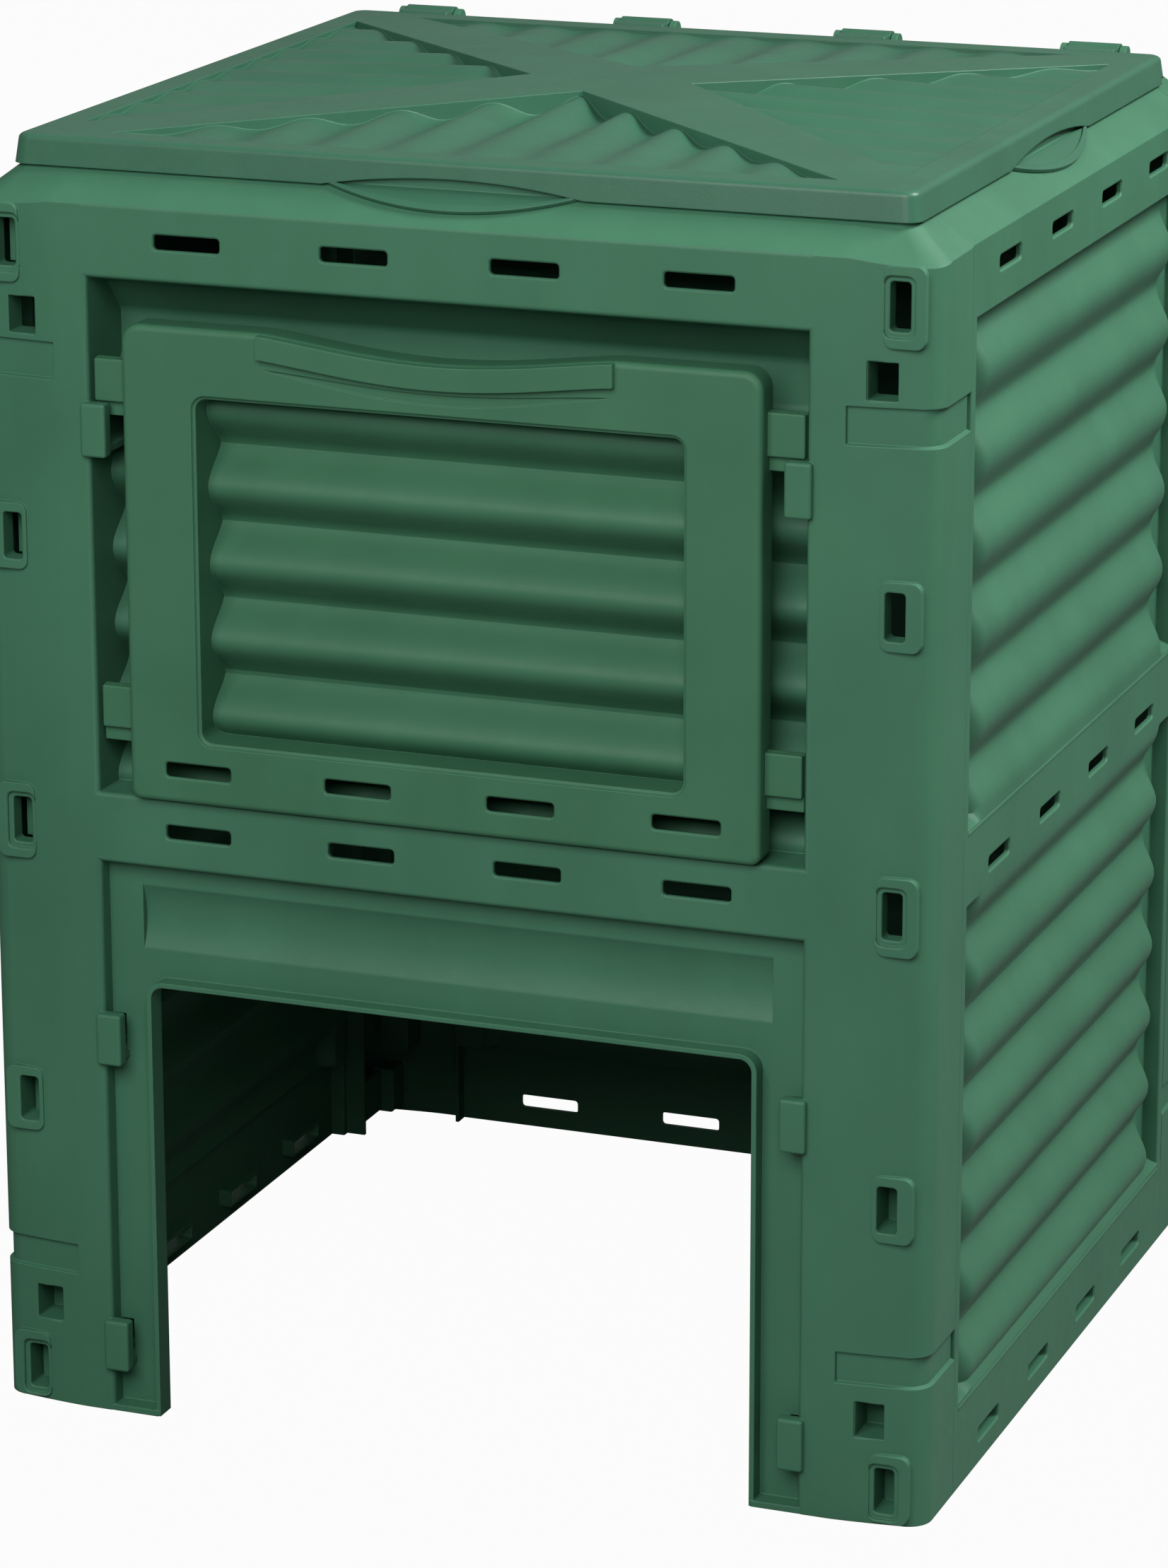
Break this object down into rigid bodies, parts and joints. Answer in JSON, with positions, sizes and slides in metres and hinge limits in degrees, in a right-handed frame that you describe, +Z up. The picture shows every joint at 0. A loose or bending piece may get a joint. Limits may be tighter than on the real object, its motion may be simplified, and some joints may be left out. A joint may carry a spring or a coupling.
{
  "type": "compost bin",
  "caption": "Square plastic garden compost bin: snap-together ribbed wall panels with corner posts, hinged ribbed lid, open base and a lift-off front hatch door.",
  "frame": {"origin": "on the ground under the middle of the object's bounding box", "axes": "+X to the right seen from the front, -Y towards the front with the door, +Z up"},
  "size_m": [0.61, 0.5998, 0.814],
  "materials": {
    "moulded_green": "satin, fine grain",
    "lid_green": "satin, fine grain",
    "door_green": "satin, fine grain"
  },
  "bodies": {
    "bin": {"front_panel": "moulded_green", "back_panel": "moulded_green", "left_panel": "moulded_green", "right_panel": "moulded_green"},
    "lid": {"lid": "lid_green"},
    "door": {"front_door": "door_green"}
  },
  "joints": [
    {"name": "lid_hinge", "type": "hinge", "parent": "bin", "child": "lid", "pos_m": [0, 0.2689, 0.7985], "axis": [-1, 0, 0], "range_deg": [0, 100]},
    {"name": "door_lift", "type": "slide", "parent": "bin", "child": "door", "axis": [0, 0, 1], "range_m": [0, 0.01]}
  ]
}
